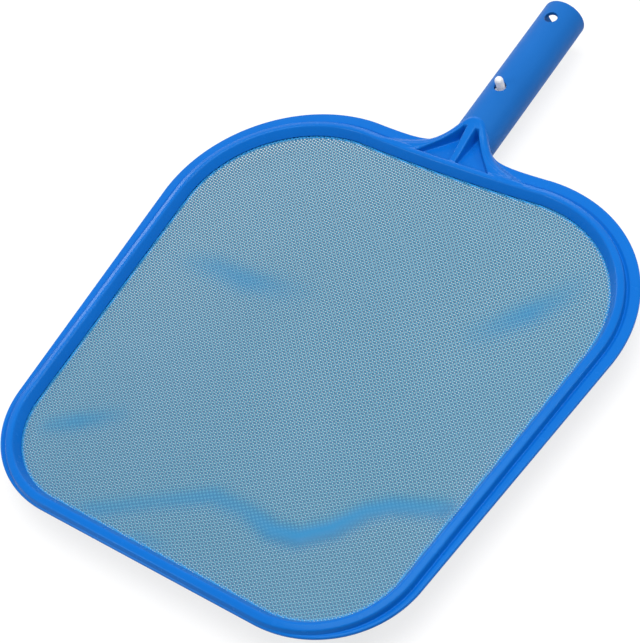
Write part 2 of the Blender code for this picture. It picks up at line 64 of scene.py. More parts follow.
# ---- the rim's section ----
BEAD_SHOULDER = 0.0040
BEAD_WIDTH = 0.0080
BEAD_HEIGHT = 0.0067
BEAD_OUTER_HEIGHT = 0.0057
BEAD_WALL = 0.0020
GROOVE_OUT = 0.0091
GROOVE_TOP = 0.0020
GROOVE_WIDTH = 0.0018
FLANGE_TOP = 0.0032
FLANGE_UNDER = 0.0010
LIP_ROUND = 0.0009
LIP_DRAFT = 0.0001
FOOT_WIDTH = 0.0034
FOOT_DEPTH = 0.0017
SLOT_HALF = 0.00055
SLOT_DEPTH = 0.0019
REACH_FRONT = 0.0100
REACH_SIDE_FRONT = 0.0134
REACH_SIDE_BACK = 0.0164
REACH_HANDLE = 0.0178
WEB_FLARE = 0.0105
WEB_FLARE_LENGTH = 0.0080
CORNER_STEPS = 6               # each corner of the section is an arc of this many sides
BEAD_CORNER = 2                # places in section_corners(): the bead's back,
LIP_CORNER = 5                 # the flange's lip
UNDER_CORNER = 6               # and the lip's lower corner

# ---- the neck: where its parts stand along Y ----
GROOVE_Y = HANDLE_EDGE_Y + GROOVE_OUT
BEAD_BACK_Y = HANDLE_EDGE_Y + BEAD_WIDTH
CROWN_Y = HANDLE_EDGE_Y + REACH_HANDLE + 0.0223
CROWN_START_Y = BEAD_BACK_Y - 0.0015
CROWN_SINK = 0.0001
NECK_HALF_LENGTH = 0.0620
NECK_HALF_WIDTH = 0.0080
NECK_FLARE = 0.0284
NECK_FLARE_LENGTH = 0.0090

# ---- the arch: a round bead that runs up one leg, over the crown and down the other ----
ARCH_Y = CROWN_Y - 0.0020
ARCH_FOOT_Y = GROOVE_Y - 0.0048
ARCH_RADIUS = 0.0030
ARCH_PROUD = 0.0003
ARCH_SHOULDER = 0.0100
ARCH_FALL = 3.2
ARCH_ROUND = 0.0180
ARCH_STEEPNESS = 2.5
ARCH_SPREAD = 0.35
ARCH_SPREAD_X = 0.0070
ARCH_SPREAD_LENGTH = 0.0100
ARCH_APRON = 0.0012

# ---- the body between the legs, and the fillets where the forms meet ----
BODY_BASE = FLANGE_TOP - 0.0010
BODY_POWER_FRONT = 4.5
BODY_POWER_BACK = 2.8
BODY_STEEPNESS = 3.0
BODY_BLEND = 0.0012
ARCH_BLEND_FRONT = 0.0030
ARCH_BLEND_BACK = 0.0008
ARCH_BLEND_Y = CROWN_Y - 0.0090
ARCH_BLEND_LENGTH = 0.0060
TUBE_BLEND = 0.0009
TUBE_SHOWS_Y = HANDLE_EDGE_Y + 0.020
END_FADE = 0.004
END_FADE_X = 0.046
END_FADE_LENGTH = 0.012

# ---- the two hollows and the rib between them ----
RIB_HALF_WIDTH = 0.0021
RIB_HALF_WIDTH_BACK = 0.0030
POCKET_START_Y = BEAD_BACK_Y - 0.0004
POCKET_LENGTH = 0.0250
POCKET_FLOOR = 0.0021
HOLLOW_EDGE = 0.0009
HOLLOW_FOOT = 0.0006
HOLLOW_STEEPNESS = 9.0
POCKET_HALF_SPAN = 0.0256
POCKET_APEX_HALF = 0.0053
POCKET_BEND = 1.2
POCKET_CUT_ASIDE = 0.0012
POCKET_CUT_BACK = 0.0015

# ---- the neck's grid ----
NECK_FINE_X = 0.0345           # the stations are dense up to here
NECK_FINE_STEP = 0.00024
TOP_START_OUT = 0.0062         # the height field starts here, outwards from the net's edge
TOP_DENSE_OUT = 0.0125
SKIN_SINK = 0.00006            # the field's end goes this far under the tube's skin
SKIN_SINK_OUT = 0.0022
SKIN_SINK_LENGTH = 0.0012

# ---- the tube ----
TUBE_RADIUS = 0.0143
BORE_RADIUS = 0.0119
TUBE_LENGTH = 0.1476
TUBE_DROP = 0.0032
TUBE_TILT = 0.0478
BORE_START = 0.0421
CLIP_HOLE_S = 0.0686
SPARE_HOLE_S = 0.1327
CLIP_HOLE_RADIUS = 0.0039
SPARE_HOLE_RADIUS = 0.0043
HEEL_LENGTH = 0.0200
HEEL_FULLNESS = 0.72
HEEL_BLEND = 0.0030
CLOSED_END_S = 0.0094
HEEL_END_S = 0.0460
MOUTH_ROUND = 0.0005
HOLE_ROUND = 0.0004
TUBE_SIDES = 144

# ---- the spring clip ----
CLIP_WIDTH = 0.0080
CLIP_THICKNESS = 0.0017
CLIP_CORNER_RADIUS = 0.0004
CLIP_BOW_RADIUS = 0.0050
CLIP_GAP = 0.0003
PAD_HEIGHT = 0.010058
ARM_LENGTH = 0.0480
PAD_LENGTH = 0.0090
TIP_LENGTH = 0.0070
HINGE_S = 0.1176
BUTTON_RADIUS = 0.0027
BUTTON_PROUD = 0.0066
# the button's foot flares into the arm: radius and height of each ring
BUTTON_FOOT = (
    (BUTTON_RADIUS, 0.0016),
    (BUTTON_RADIUS + 0.0002, 0.0011),
    (BUTTON_RADIUS + 0.0006, 0.0007),
    (BUTTON_RADIUS + 0.0006, -0.0002),
    (0.0, -0.0002),
)
BUTTON_LEAN_BACK = 0.03
BUTTON_LEAN_ASIDE = 0.07

# ---- the netting ----
WARPS_PER_METRE = 600.0
WEFTS_PER_METRE = 671.0
WARP_CROWDING = 252.0
WEFT_CROWDING = 339.0
WEFT_SLANT = 84.0
THREADS_EACH_WAY = 118
THREAD_WIDTH = 0.00110
THREAD_WEAVE = 0.00014
THREAD_DRIFT = 0.0009
THREAD_RIPPLE = 0.0003
NET_TUCK = 0.0015              # how far the netting goes on into the rim's slot
NET_BORDER = 0.0016            # width of the bluer band along the rim
SAG_RUN_IN = 0.012             # the cloth's swells and folds grow over these widths from the rim
FOLD_RUN_IN = 0.010
FOLD_WIDENING = 0.5

MERGE_DISTANCE = 0.000004
FLAT_DISTANCE = 0.000002

TUBE_FRAME = (Matrix.Translation((0.0, HANDLE_EDGE_Y, -TUBE_DROP))
              @ Matrix.Rotation(TUBE_TILT, 4, "X"))
DATUM = Matrix.Translation(-(TUBE_FRAME @ Vector((0.0, CLIP_HOLE_S, 0.0))))


def smooth_step(share):
    """0 up to a share of 0 and 1 from a share of 1, with 3 s^2 - 2 s^3 between them."""
    share = np.clip(share, 0.0, 1.0)
    return share * share * (3 - 2 * share)


def mix(first, last, share):
    """The straight blend: first at a share of 0, last at a share of 1."""
    return first + (last - first) * share


def rounded_max(a, b, width):
    """The larger of two heights, with a fillet where they are within width of each other."""
    share = np.clip(0.5 + 0.5 * (a - b) / width, 0.0, 1.0)
    return mix(b, a, share) + width * share * (1 - share)


def quarter(count):
    """A quarter turn in even steps."""
    return np.linspace(0, np.pi / 2, count)


def nearest_point(places, line):
    """For each place, the number of the nearest point of a line, both as (x, y)."""
    gap = places[:, None, :].astype(np.float32) - line[None].astype(np.float32)
    return (gap**2).sum(2).argmin(1)


def drawing_to_row(points):
    """Move points from the maker's drawing to the row's frame."""
    return points + np.array(DATUM.translation)


def make_piece(name, points, faces):
    """A mesh object from arrays of points and of four-sided faces."""
    mesh = bpy.data.meshes.new(name)
    points = np.asarray(points, np.float32)
    faces = np.asarray(faces, np.int32)
    mesh.vertices.add(len(points))
    mesh.vertices.foreach_set("co", points.ravel())
    mesh.loops.add(faces.size)
    mesh.loops.foreach_set("vertex_index", faces.ravel())
    mesh.polygons.add(len(faces))
    starts = np.arange(0, faces.size, faces.shape[1], dtype=np.int32)
    mesh.polygons.foreach_set("loop_start", starts)
    mesh.update(calc_edges=True)
    mesh.validate()
    piece = bpy.data.objects.new(name, mesh)
    bpy.context.scene.collection.objects.link(piece)
    return piece


def skin_piece(name, run):
    """A mesh object whose skin runs through a grid of points, closed round its columns.

    run is (rows, columns, 3).  Where a row has shrunk to a point, its doubles are merged.
    """
    rows, columns = run.shape[:2]
    r, c = np.meshgrid(np.arange(rows - 1), np.arange(columns), indexing="ij")
    c2 = (c + 1) % columns
    here, next_row = r * columns, (r + 1) * columns
    faces = np.stack([here + c, here + c2, next_row + c2, next_row + c], -1)
    piece = make_piece(name, run.reshape(-1, 3), faces.reshape(-1, 4))
    tidy_surface(piece)
    return piece


def smooth_up_to(piece, degrees):
    """Shade the piece smooth, and keep the edges sharp that turn by more than this angle."""
    piece.data.shade_smooth()
    piece.data.set_sharp_from_angle(angle=np.radians(degrees))


def tidy_surface(piece):
    """Merge doubles and flat corners, and turn the faces outwards."""
    form = bmesh.new()
    form.from_mesh(piece.data)
    bmesh.ops.remove_doubles(form, verts=form.verts, dist=MERGE_DISTANCE)
    bmesh.ops.dissolve_degenerate(form, edges=form.edges, dist=FLAT_DISTANCE)
    bmesh.ops.recalc_face_normals(form, faces=form.faces)
    form.to_mesh(piece.data)
    form.free()
    piece.data.update()


def round_corners(corners, radii, steps):
    """Round each corner of a closed section: corners is (stations, corners, 2), radii one a corner.

    Each corner becomes an arc that touches both its sides, drawn with steps + 1 points.
    """
    before = np.roll(corners, 1, axis=1) - corners
    after = np.roll(corners, -1, axis=1) - corners
    before /= np.linalg.norm(before, axis=2, keepdims=True)
    after /= np.linalg.norm(after, axis=2, keepdims=True)
    half = np.arccos(np.clip((before * after).sum(2), -1, 1))[..., None] / 2
    bisector = before + after
    bisector /= np.linalg.norm(bisector, axis=2, keepdims=True)
    radius = np.asarray(radii)[None, :, None]
    middle = corners + bisector * radius / np.sin(half)
    first = before * radius / np.tan(half) + corners - middle
    last = after * radius / np.tan(half) + corners - middle
    turn = np.pi - 2 * half
    share = np.linspace(0, 1, steps + 1)[None, None, :]
    weight_first = (np.sin((1 - share) * turn) / np.sin(turn))[..., None]
    weight_last = (np.sin(share * turn) / np.sin(turn))[..., None]
    arc = first[:, :, None] * weight_first + last[:, :, None] * weight_last
    return (middle[:, :, None] + arc).reshape(len(corners), -1, 2)


# ---- the net's edge: front middle, right side, handle middle, then mirrored ----

def corner(before, vertex, after, radius, count):
    """The arc that rounds one corner of the net's edge, as an array of points."""
    to_before = (before - vertex) / np.linalg.norm(before - vertex)
    to_after = (after - vertex) / np.linalg.norm(after - vertex)
    half = np.arccos(to_before @ to_after) / 2
    bisector = (to_before + to_after) / np.linalg.norm(to_before + to_after)
    middle = vertex + bisector * radius / np.sin(half)
    spoke = vertex + to_before * radius / np.tan(half) - middle
    angle = np.linspace(0, np.pi - 2 * half, count)
    cos, sin = np.cos(angle), np.sin(angle)
    return middle + np.stack([cos * spoke[0] - sin * spoke[1], sin * spoke[0] + cos * spoke[1]], 1)


def web_flare(x):
    """How far the flange runs out along the tube near the neck."""
    return WEB_FLARE * np.exp(-np.maximum(np.abs(x) - TUBE_RADIUS, 0.0) / WEB_FLARE_LENGTH)


def half_edge(handle_x):
    """Right half of the net's edge: points, outward directions and the rim's reach at each.

    handle_x gives the stations along the handle side, from the corner to the middle.
    """
    half = NET_LENGTH / 2
    front = np.array([NET_FRONT_WIDTH / 2, -half])
    back = np.array([NET_HANDLE_WIDTH / 2, half])
    first = corner(front * [-1, 1], front, back, FRONT_CORNER_RADIUS, count=44)
    second = corner(front, back, back * [-1, 1], HANDLE_CORNER_RADIUS, count=56)
    front_x = np.linspace(0, first[0, 0], 11)[:-1]
    front_run = np.stack([front_x, np.full_like(front_x, -half)], 1)
    side = first[-1] + (second[0] - first[-1]) * np.linspace(0, 1, 16)[1:-1, None]
    end_x = second[-1, 0]
    x = handle_x[handle_x < end_x - LEAST_STEP]
    bow = HANDLE_EDGE_BOW * (1 - (x / end_x)**2)
    handle_run = np.stack([x, half - bow], 1)
    points = np.concatenate([front_run, first, side, second, handle_run])
    reach = np.concatenate([
        np.full(len(front_run), REACH_FRONT),
        mix(REACH_FRONT, REACH_SIDE_FRONT, smooth_step(np.linspace(0, 1, len(first)))),
        np.linspace(REACH_SIDE_FRONT, REACH_SIDE_BACK, len(side) + 2)[1:-1],
        mix(REACH_SIDE_BACK, REACH_HANDLE, smooth_step(np.linspace(0, 1, len(second)))),
        REACH_HANDLE + web_flare(x),
    ])
    along = np.empty_like(points)
    along[1:-1] = points[2:] - points[:-2]
    along[0] = [1, 0]
    along[-1] = points[-1] - points[-2]
    if abs(points[-1, 0]) < 1e-6:
        along[-1] = [-1, 0]
    along /= np.linalg.norm(along, axis=1, keepdims=True)
    return points, np.stack([along[:, 1], -along[:, 0]], 1), reach


def net_edge():
    """Right half of the net's edge with even stations on the handle side: points and directions."""
    return half_edge(np.linspace(HANDLE_RUN_X, 0.0, 24))[:2]


def section_corners(reach):
    """The rim's section at each station as corners, and the radius that rounds each of them.

    Where the rim is narrow, at the front, the groove is filled up to the flange.
    """
    full = smooth_step((reach - REACH_FRONT) / (REACH_SIDE_FRONT - REACH_FRONT))
    groove_end = GROOVE_OUT + mix(0.0004, GROOVE_WIDTH, full)
    channel_out = BEAD_WIDTH - BEAD_WALL / 2
    channel_top = BEAD_OUTER_HEIGHT - BEAD_WALL
    rows = [
        # outwards, upwards, radius
        (0, SLOT_HALF, 0.0003),                                                # slot's upper edge
        (BEAD_SHOULDER, BEAD_HEIGHT, 0.0019),                                  # bead's shoulder
        (BEAD_WIDTH, BEAD_OUTER_HEIGHT, 0.0013),                               # bead's back
        (GROOVE_OUT, mix(FLANGE_TOP, GROOVE_TOP, full), 0.0005),               # groove
        (groove_end, mix(FLANGE_TOP - 0.0002, FLANGE_TOP, full), 0.0005),      # groove's end
        (reach, mix(FLANGE_TOP - 0.0006, FLANGE_TOP + 0.0001, full), LIP_ROUND),    # lip
        (reach - LIP_DRAFT, FLANGE_UNDER, 0.0007),                             # lip, below
        (channel_out, FLANGE_UNDER, 0.0004),                                   # channel's mouth
        (channel_out - 0.0008, channel_top, 0.0005),                           # channel's roof
        (FOOT_WIDTH + 0.0012, channel_top, 0.0005),
        (FOOT_WIDTH, 0, 0.0005),                                               # foot band
        (FOOT_WIDTH, -FOOT_DEPTH, 0.0004),
        (0, -FOOT_DEPTH, 0.0004),
        (0, -SLOT_HALF, 0.0002),                                               # slot's lower edge
        (SLOT_DEPTH, -SLOT_HALF, 0.0001),                                      # slot's bottom
        (SLOT_DEPTH, SLOT_HALF, 0.0001),
    ]
    one = np.ones_like(reach)
    corners = np.stack([np.stack([out * one, up * one], 1) for out, up, _ in rows], 1)
    return corners, [radius for _, _, radius in rows]


def carry_section(points, outwards, section):
    """Carry a section along the net's edge: a point of it lies outwards from the edge, and up."""
    x = points[:, None, 0] + outwards[:, None, 0] * section[..., 0]
    y = points[:, None, 1] + outwards[:, None, 1] * section[..., 0]
    return np.stack([x, y, section[..., 1]], -1)


def make_rim():
    """The rim without its stretch at the neck: the rounded section carried round the net's edge."""
    points, outwards, reach = half_edge(np.linspace(HANDLE_RUN_X, NECK_HALF_LENGTH, 5))
    section = round_corners(*section_corners(reach), CORNER_STEPS)
    right = carry_section(points, outwards, section)
    left = right[:0:-1] * [-1, 1, 1]
    run = np.concatenate([left, right])
    rim = skin_piece("rim", drawing_to_row(run))
    smooth_up_to(rim, degrees=50)
    return rim


# ---- the neck: the handle side between the two ends of the rim, as one height field ----

def tube_axis_height(y):
    """Height of the tube's tilted axis: a straight line in y."""
    return -TUBE_DROP + (y - HANDLE_EDGE_Y) * np.tan(TUBE_TILT)


def arch_half_width(y):
    """Half width of the arch's middle line: an exponential flare, drawn in to a quarter ellipse."""
    flare = NECK_HALF_WIDTH + NECK_FLARE * np.exp(-(y - GROOVE_Y) / NECK_FLARE_LENGTH)
    into = np.maximum((y - (ARCH_Y - ARCH_ROUND)) / ARCH_ROUND, 0.0)
    return flare * np.sqrt(np.maximum(1 - into**2, 0.0))


def arch_line(count):
    """The arch's middle line on the right, from its foot on the bead to the crown.

    Its height falls from the crown to the foot as 1 / (1 + (x / shoulder)^fall).
    """
    share = np.sin(quarter(count))
    y = mix(ARCH_FOOT_Y, ARCH_Y, share)
    x = arch_half_width(y)
    foot = BEAD_OUTER_HEIGHT - ARCH_RADIUS
    top = tube_axis_height(ARCH_Y) + TUBE_RADIUS / np.cos(TUBE_TILT) + ARCH_PROUD - ARCH_RADIUS
    return np.stack([x, y, mix(foot, top, 1 / (1 + (x / ARCH_SHOULDER)**ARCH_FALL))], 1)


def arch_height(x, y):
    """Height of the arch's round bead: at a distance d from its line, z + sqrt(radius^2 - d^2).

    Where the circle gets as steep as the sides' slope, a straight side takes over.  Towards the
    foot the bead spreads: d is divided by a factor that grows with the line's x.
    """
    line = arch_line(count=260)
    tangent = np.gradient(line[:, :2], axis=0)
    length = np.linalg.norm(tangent, axis=1)
    tangent /= length[:, None]
    flat = np.stack([x.ravel(), y.ravel()], 1).astype(np.float32)
    nearest = nearest_point(flat, line[:, :2])
    offset = flat - line[nearest, :2]
    along = (offset * tangent[nearest]).sum(1)
    distance = np.sqrt(np.maximum((offset**2).sum(1) - along**2, 0.0))
    place = nearest + along / length[nearest]
    steps = np.arange(len(line))
    middle = np.interp(place, steps, line[:, 2])
    line_x = np.interp(place, steps, line[:, 0])
    distance /= 1 + ARCH_SPREAD * smooth_step((line_x - ARCH_SPREAD_X) / ARCH_SPREAD_LENGTH)
    turning = ARCH_RADIUS * ARCH_STEEPNESS / np.hypot(ARCH_STEEPNESS, 1.0)
    inside = np.sqrt(ARCH_RADIUS**2 - np.minimum(distance, turning)**2)
    height = middle + inside - ARCH_STEEPNESS * np.maximum(distance - turning, 0.0)
    return height.reshape(x.shape)


def crown_height(y):
    """Height of the neck's middle: the bead's sloping top, then an S-curve to the tube's top."""
    slope = (BEAD_HEIGHT - BEAD_OUTER_HEIGHT) / (BEAD_WIDTH - BEAD_SHOULDER)
    low = BEAD_OUTER_HEIGHT + slope * np.maximum(BEAD_BACK_Y - y, 0.0) - CROWN_SINK
    top = tube_axis_height(CROWN_Y) + TUBE_RADIUS / np.cos(TUBE_TILT)
    return mix(low, top, smooth_step((y - CROWN_START_Y) / (CROWN_Y - CROWN_START_Y)))


def body_height(x, y):
    """Height of the wishbone's body: a superellipse across, as high as the crown in the middle."""
    hair = 0.00001      # keeps the half width above zero at the crown
    half = np.maximum(arch_half_width(np.minimum(y, ARCH_Y - hair)), hair)
    back = smooth_step((y - GROOVE_Y) / (CROWN_Y - GROOVE_Y))
    power = mix(BODY_POWER_FRONT, BODY_POWER_BACK, back)
    across = np.clip(np.abs(x) / half, 0.0, 1.0)
    height = mix(BODY_BASE, crown_height(y), (1 - across**power)**(1 / power))
    beyond = np.maximum(np.abs(x) - half, 0.0) + np.maximum(y - ARCH_Y, 0.0)
    return height - BODY_STEEPNESS * beyond


def pocket_outline():
    """The right hollow seen from above: a long triangle whose outer side bends inwards."""
    share = np.linspace(1, 0, 14)
    outer_x = mix(POCKET_APEX_HALF, POCKET_HALF_SPAN, share**POCKET_BEND)
    outer_y = POCKET_START_Y + POCKET_LENGTH * (1 - share)
    outer = np.stack([outer_x, outer_y], 1)
    first = (RIB_HALF_WIDTH + POCKET_CUT_ASIDE, POCKET_START_Y)
    last = ((RIB_HALF_WIDTH_BACK, outer_y[-1]), (RIB_HALF_WIDTH, POCKET_START_Y + POCKET_CUT_BACK))
    return np.concatenate([[first], outer, last])


def pocket_distance(x, y):
    """Signed distance to the hollow's outline, positive outside.

    The nearest side gives the distance.  A point is inside if a ray towards +X crosses an odd
    number of sides.
    """
    a = pocket_outline()
    b = np.roll(a, -1, axis=0)
    side = b - a
    flat = np.stack([np.abs(x).ravel(), y.ravel()], 1)
    offset = flat[:, None, :] - a[None]
    share = np.clip((offset * side).sum(2) / (side**2).sum(1), 0.0, 1.0)
    distance = np.linalg.norm(offset - share[..., None] * side, axis=2).min(1)
    low = np.minimum(a[:, 1], b[:, 1])
    high = np.maximum(a[:, 1], b[:, 1])
    crosses = (flat[:, None, 1] >= low) & (flat[:, None, 1] < high)
    with np.errstate(divide="ignore", invalid="ignore"):
        at = a[:, 0] + (flat[:, None, 1] - a[:, 1]) * side[:, 0] / side[:, 1]
    inside = (crosses & (flat[:, None, 0] < at)).sum(1) % 2 == 1
    return np.where(inside, -distance, distance).reshape(x.shape)


def hollow_height(top, distance, floor):
    """Height in and round a hollow, from the signed distance to its outline, positive outside.

    A quarter round leads from the top into a wall that falls steeply, and another into the floor:
    each drops by radius - sqrt(radius^2 - (radius - distance)^2).
    """
    edge = np.clip(HOLLOW_EDGE - distance, 0.0, HOLLOW_EDGE)
    upper = top - HOLLOW_EDGE + np.sqrt(HOLLOW_EDGE**2 - edge**2)
    wall = np.where(distance < 0, top - HOLLOW_EDGE + HOLLOW_STEEPNESS * distance, upper)
    foot = -distance - np.maximum(top - HOLLOW_EDGE - floor, 0.0) / HOLLOW_STEEPNESS
    fillet = np.clip(HOLLOW_FOOT - foot, 0.0, HOLLOW_FOOT)
    lower = floor + HOLLOW_FOOT - np.sqrt(HOLLOW_FOOT**2 - fillet**2)
    return np.where(distance < 0, np.maximum(wall, np.minimum(lower, top)), wall)


def neck_height(x, y, out):
    """Height of the whole handle side: rim, body, arch and tube merged, then the hollows cut out.

    The rim's own height is its section up to the lip, drawn finely for a rim so wide that its lip
    is far away, and read at the distance outwards from the net's edge.
    """
    steps = 24
    section = round_corners(*section_corners(np.array([REACH_HANDLE * 4])), steps)
    profile = section[0, :LIP_CORNER * (steps + 1)]
    z = np.interp(out, profile[:, 0], profile[:, 1])
    fade = END_FADE * smooth_step((np.abs(x) - END_FADE_X) / END_FADE_LENGTH)
    z = rounded_max(z, body_height(x, y) - fade, BODY_BLEND)
    back = smooth_step((y - ARCH_BLEND_Y) / ARCH_BLEND_LENGTH)
    z = rounded_max(z, arch_height(x, y) - fade, mix(ARCH_BLEND_FRONT, ARCH_BLEND_BACK, back))
    lift = np.sqrt(np.maximum(TUBE_RADIUS**2 - x**2, 0.0)) / np.cos(TUBE_TILT)
    far_below = -0.02
    tube_top = np.where(np.abs(x) < TUBE_RADIUS, tube_axis_height(y) + lift, far_below)
    on_tube = (y > TUBE_SHOWS_Y) & (np.abs(x) > arch_half_width(y) - 0.0005)
    z = np.where(on_tube, rounded_max(z, tube_top, TUBE_BLEND), z)
    return hollow_height(z, pocket_distance(x, y), POCKET_FLOOR)


def neck_end(points, reach):
    """How far the height field runs out at each station: to the flange's lip, or round the arch."""
    line = arch_line(count=200)[:, :2]
    tangent = np.gradient(line, axis=0)
    tangent /= np.linalg.norm(tangent, axis=1, keepdims=True)
    outside = np.stack([tangent[:, 1], -tangent[:, 0]], 1)
    border = line + outside * (ARCH_RADIUS + ARCH_APRON)
    border = border[np.argsort(border[:, 0])]
    arch_y = np.interp(points[:, 0], border[:, 0], border[:, 1])
    near_tube = points[:, 0] < 0.020
    return np.maximum(reach, np.where(near_tube, arch_y, 0.0) - points[:, 1])


def make_neck():
    """The handle side at the neck, as stations along X, each a section with a densely drawn top.

    The bead's inner half and the underside are the rim's rounded section.  Between them lies the
    height field, which ends in a quarter round at the lip and sinks a hair into the tube's skin.
    """
    fine = np.arange(0, NECK_FINE_X, NECK_FINE_STEP)
    handle_x = np.concatenate([fine, np.linspace(NECK_FINE_X, NECK_HALF_LENGTH, 50)])
    points, outwards, reach = half_edge(np.concatenate([[HANDLE_RUN_X], handle_x[::-1]]))
    points, outwards, reach = (part[-len(handle_x):][::-1] for part in (points, outwards, reach))
    outwards[0] = [0, 1]
    end = neck_end(points, reach)
    before_lip = end[:, None] - LIP_ROUND
    lip = LIP_ROUND * (1 - np.sin(quarter(7)[1:]))
    dense = np.linspace(TOP_START_OUT, TOP_DENSE_OUT, 42, endpoint=False)
    near = np.tile(dense, (len(end), 1))
    far = mix(TOP_DENSE_OUT, before_lip, np.linspace(0, 1, 90))
    out = np.concatenate([near, far, end[:, None] - lip[None]], 1)
    x = points[:, None, 0] + outwards[:, None, 0] * out
    y = points[:, None, 1] + outwards[:, None, 1] * out
    z = neck_height(x, y, out)
    over = np.maximum(out - before_lip, 0.0)
    z -= LIP_ROUND - np.sqrt(np.maximum(LIP_ROUND**2 - over**2, 0.0))
    sunk = smooth_step((out - end[:, None] + SKIN_SINK_OUT) / SKIN_SINK_LENGTH)
    z -= SKIN_SINK * sunk * (np.abs(x) < TUBE_RADIUS)
    top = np.stack([x, y, z], -1)
    corners, radii = section_corners(reach)
    corners[:, LIP_CORNER, 0] = end
    corners[:, UNDER_CORNER, 0] = end - LIP_DRAFT
    whole = carry_section(points, outwards, round_corners(corners, radii, CORNER_STEPS))
    inner = whole[:, :BEAD_CORNER * (CORNER_STEPS + 1)]
    under = whole[:, UNDER_CORNER * (CORNER_STEPS + 1):]
    run = np.concatenate([inner, top, under], 1)
    left = run[:0:-1] * [-1, 1, 1]
    run = np.concatenate([left, run])
    neck = skin_piece("neck", drawing_to_row(run))
    smooth_up_to(neck, degrees=120)
    return neck


# ---- the tube ----

def make_tube():
    """The tube: rings carried along its axis, out over the mouth's rounded edge and down the bore.

    Its closed end is lifted from below by a quarter ellipse, and kept under the neck's skin.
    """
    soft = MOUTH_ROUND
    heel = np.arange(CLOSED_END_S, HEEL_END_S, 0.0006)
    straight = np.linspace(HEEL_END_S + 0.001, TUBE_LENGTH - soft, 60)
    skin = np.concatenate([heel, straight])
    outer = np.stack([np.full_like(skin, TUBE_RADIUS), skin], 1)
    turn = quarter(6)
    inset, short = soft * (1 - np.cos(turn[1:])), soft * (1 - np.sin(turn[1:]))
    mouth_out = np.stack([TUBE_RADIUS - inset, TUBE_LENGTH - short], 1)
    inset, short = soft * (1 - np.sin(turn)), soft * (1 - np.cos(turn))
    mouth_in = np.stack([BORE_RADIUS + inset, TUBE_LENGTH - short], 1)
    bore = np.linspace(TUBE_LENGTH - soft * 2, BORE_START, 50)
    inner = np.stack([np.full_like(bore, BORE_RADIUS), bore], 1)
    ends = [[0.0, CLOSED_END_S]], [[0.0, BORE_START]]
    rings = np.concatenate([ends[0], outer, mouth_out, mouth_in, inner, ends[1]])
    angle = (np.arange(TUBE_SIDES) + 0.5) / TUBE_SIDES * 2 * np.pi
    x = rings[:, None, 0] * np.sin(angle)
    up = rings[:, None, 0] * np.cos(angle)
    tilt_cos, tilt_sin = np.cos(TUBE_TILT), np.sin(TUBE_TILT)
    y = HANDLE_EDGE_Y + rings[:, None, 1] * tilt_cos - up * tilt_sin
    z = -TUBE_DROP + rings[:, None, 1] * tilt_sin + up * tilt_cos
    outside = np.arange(len(rings))[:, None] <= len(skin)
    deep = (2 * TUBE_RADIUS + 0.001) * HEEL_FULLNESS
    along = np.clip((y - GROOVE_Y) / HEEL_LENGTH, 0.0, 1.0)
    lifted = FLANGE_UNDER - deep * np.sqrt(1 - (1 - along)**2)
    z = np.where(outside & (along < 1), rounded_max(z, lifted, HEEL_BLEND), z)
    under_arch = outside & (np.abs(x) < arch_half_width(np.minimum(y, ARCH_Y))) & (y < ARCH_Y)
    under_skin = FLANGE_TOP - 0.0012
    z = np.where(under_arch, np.minimum(z, under_skin), z)
    tube = skin_piece("tube", drawing_to_row(np.stack([x, y, z], -1)))
    combine(tube, hole_cutter(CLIP_HOLE_S, CLIP_HOLE_RADIUS), "DIFFERENCE")
    combine(tube, hole_cutter(SPARE_HOLE_S, SPARE_HOLE_RADIUS), "DIFFERENCE")
    smooth_up_to(tube, degrees=28)
    return tube


def turn_profile(name, profile, sides):
    """Turn a (radius, z) profile about Z: x = r cos, y = r sin, with its ends on the axis."""
    angle = (np.arange(sides) + 0.5) / sides * 2 * np.pi
    x = profile[:, None, 0] * np.cos(angle)
    y = profile[:, None, 0] * np.sin(angle)
    z = np.broadcast_to(profile[:, None, 1], x.shape)
    return skin_piece(name, np.stack([x, y, z], -1))


def hole_cutter(distance, radius):
    """A pin through both walls that flares out in an arc at each mouth."""
    angle = quarter(6)
    flare_radius = radius + HOLE_ROUND * (1 - np.cos(angle))
    flare_level = TUBE_RADIUS - HOLE_ROUND * (1 - np.sin(angle))
    flare = np.stack([flare_radius, flare_level], 1)
    beyond = TUBE_RADIUS + 0.002
    top = np.concatenate([[[0.0, beyond], [radius + HOLE_ROUND, beyond]], flare[::-1]])
    profile = np.concatenate([top, top[::-1] * [1, -1]])
    cutter = turn_profile("hole", profile, sides=64)
    cutter.data.transform(DATUM @ TUBE_FRAME @ Matrix.Translation((0.0, distance, 0.0)))
    return cutter


def combine(piece, other, operation):
    """Apply one exact Boolean and drop the other solid."""
    change = piece.modifiers.new("combine", "BOOLEAN")
    change.object = other
    change.operation = operation
    change.solver = "EXACT"
    graph = bpy.context.evaluated_depsgraph_get()
    mesh = bpy.data.meshes.new_from_object(piece.evaluated_get(graph))
    piece.modifiers.clear()
    piece.data = mesh
    mesh.name = piece.name
    bpy.data.objects.remove(other, do_unlink=True)


# ---- the spring clip ----

def strip_section():
    """A rounded rectangle, CLIP_WIDTH by CLIP_THICKNESS, as (across, through) points."""
    count = 20
    angle = (np.arange(count) + 0.5) / count * 2 * np.pi
    spoke = np.stack([np.cos(angle), np.sin(angle)], 1)
    middle = np.array([CLIP_WIDTH, CLIP_THICKNESS]) / 2 - CLIP_CORNER_RADIUS
    return np.sign(spoke) * middle + CLIP_CORNER_RADIUS * spoke


